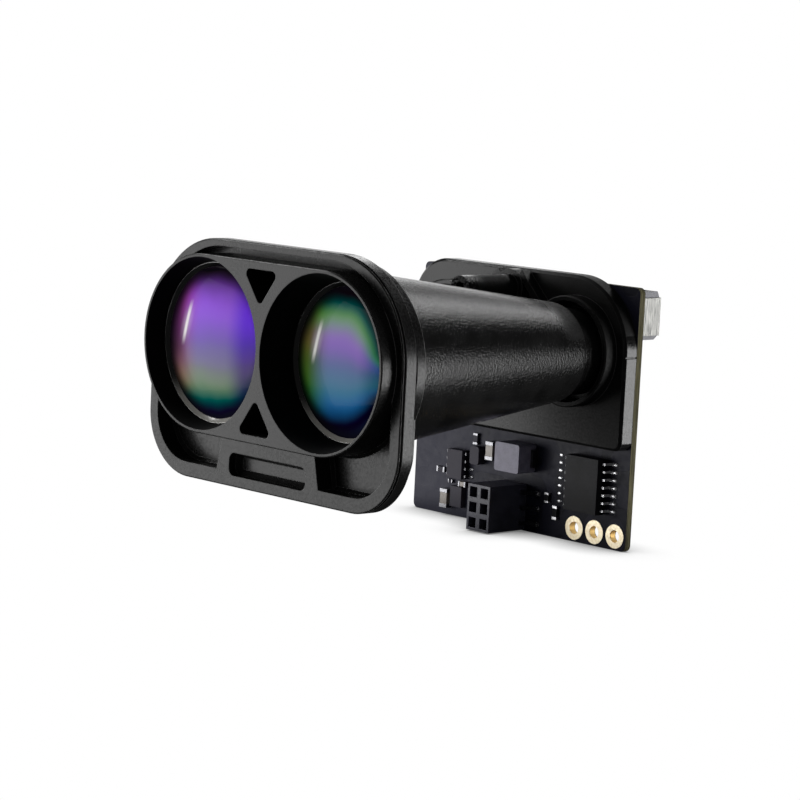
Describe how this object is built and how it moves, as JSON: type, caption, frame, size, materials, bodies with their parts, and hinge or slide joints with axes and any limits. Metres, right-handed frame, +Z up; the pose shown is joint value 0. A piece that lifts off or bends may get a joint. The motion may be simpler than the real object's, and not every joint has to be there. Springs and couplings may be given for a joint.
{
  "type": "laser range module",
  "caption": "Fixed-beam laser range module: hooded twin lenses in a moulded front frame, tapered barrels and a rear plate on a bare circuit board with a pin socket.",
  "frame": {"origin": "on the lens block's front face, midway between the two optical axes", "axes": "+X to the right seen from the front, +Y from the front face back to the circuit board along the optical axes, +Z up"},
  "size_m": [0.0584, 0.0638, 0.0477],
  "materials": {
    "frame_plastic": "satin black moulding with a fine grain",
    "seal_rubber": "matt black",
    "ring_metal": "black anodised with a bright worn edge",
    "receiver_glass": "polished, multilayer coating reflecting violet and blue",
    "emitter_glass": "polished, multilayer coating reflecting green, violet and blue",
    "filter_glass": "polished dark red band filter",
    "barrel_plastic": "satin black moulding with a sparked grain",
    "can_metal": "gold plated",
    "solder_mask": "satin black solder mask over glass laminate",
    "screw_steel": "zinc plated",
    "socket_plastic": "satin black",
    "chip_plastic": "matt black moulding compound",
    "tin": "bright tin",
    "dull_tin": "dull tin",
    "ferrite": "matt grey ferrite",
    "capacitor_ceramic": "satin tan ceramic",
    "gold": "gold plated",
    "shield_steel": "brushed sheet"
  },
  "bodies": {
    "root": {"front_frame": "frame_plastic", "frame_seal": "seal_rubber", "barrel_flange": "frame_plastic", "receiver_lens_ring": "ring_metal", "emitter_lens_ring": "ring_metal", "receiver_lens": "receiver_glass", "emitter_lens": "emitter_glass", "receiver_barrel": "barrel_plastic", "emitter_barrel": "barrel_plastic", "receiver_filter": "filter_glass", "photodiode": "can_metal", "laser_diode": "can_metal", "rear_plate": "barrel_plastic", "main_board": "solder_mask", "board_screws": "screw_steel", "pin_socket": "socket_plastic", "pin_socket_tails": "dull_tin", "interface_chip": "chip_plastic", "interface_chip_leads": "tin", "regulator_chip": "chip_plastic", "regulator_chip_leads": "tin", "driver_chip": "chip_plastic", "clamp_diode": "chip_plastic", "power_inductor": "ferrite", "inductor_terminals": "tin", "ceramic_capacitors": "capacitor_ceramic", "capacitor_terminals": "tin", "chip_resistors": "chip_plastic", "resistor_terminals": "tin", "wire_pads": "gold", "rear_connector_body": "socket_plastic", "rear_connector_shield": "shield_steel", "rear_connector_contacts": "gold"}
  },
  "joints": []
}
